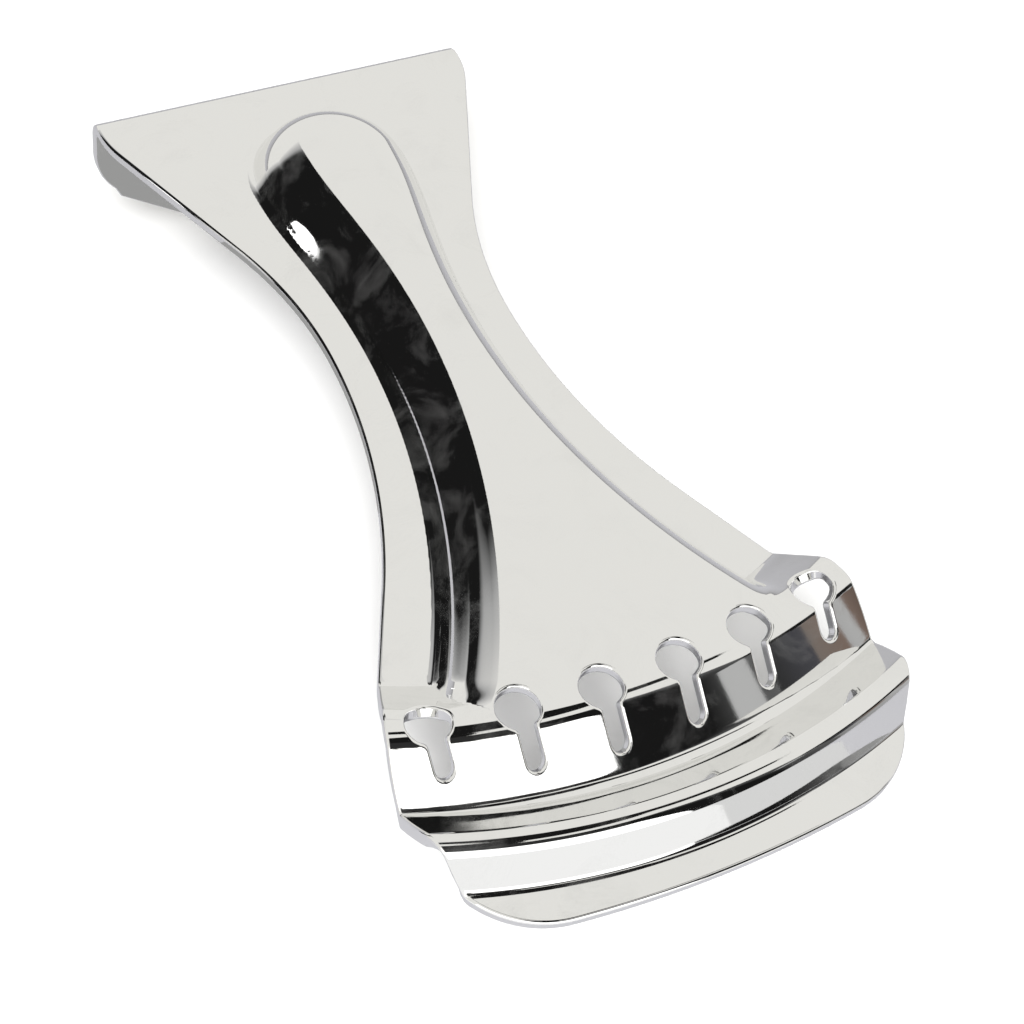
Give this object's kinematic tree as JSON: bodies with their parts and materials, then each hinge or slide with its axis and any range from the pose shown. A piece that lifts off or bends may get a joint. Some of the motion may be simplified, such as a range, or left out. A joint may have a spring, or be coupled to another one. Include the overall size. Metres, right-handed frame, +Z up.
{
  "type": "string instrument tailpiece",
  "caption": "Pressed and chromed sheet-steel tailpiece with a folded hanger, a raised tongue and a curved row of string keyholes.",
  "frame": {"origin": "centre of the end-pin hole, on the hanger face that lies against the instrument", "axes": "+X across the strings, +Y along the strings from the butt end towards the bridge, +Z up out of the instrument's top"},
  "size_m": [0.0596, 0.1252, 0.0339],
  "materials": {
    "chromed_steel": "bright decorative chrome plate over polished pressed steel"
  },
  "bodies": {
    "root": {"tailpiece_plate": "chromed_steel"}
  },
  "joints": []
}
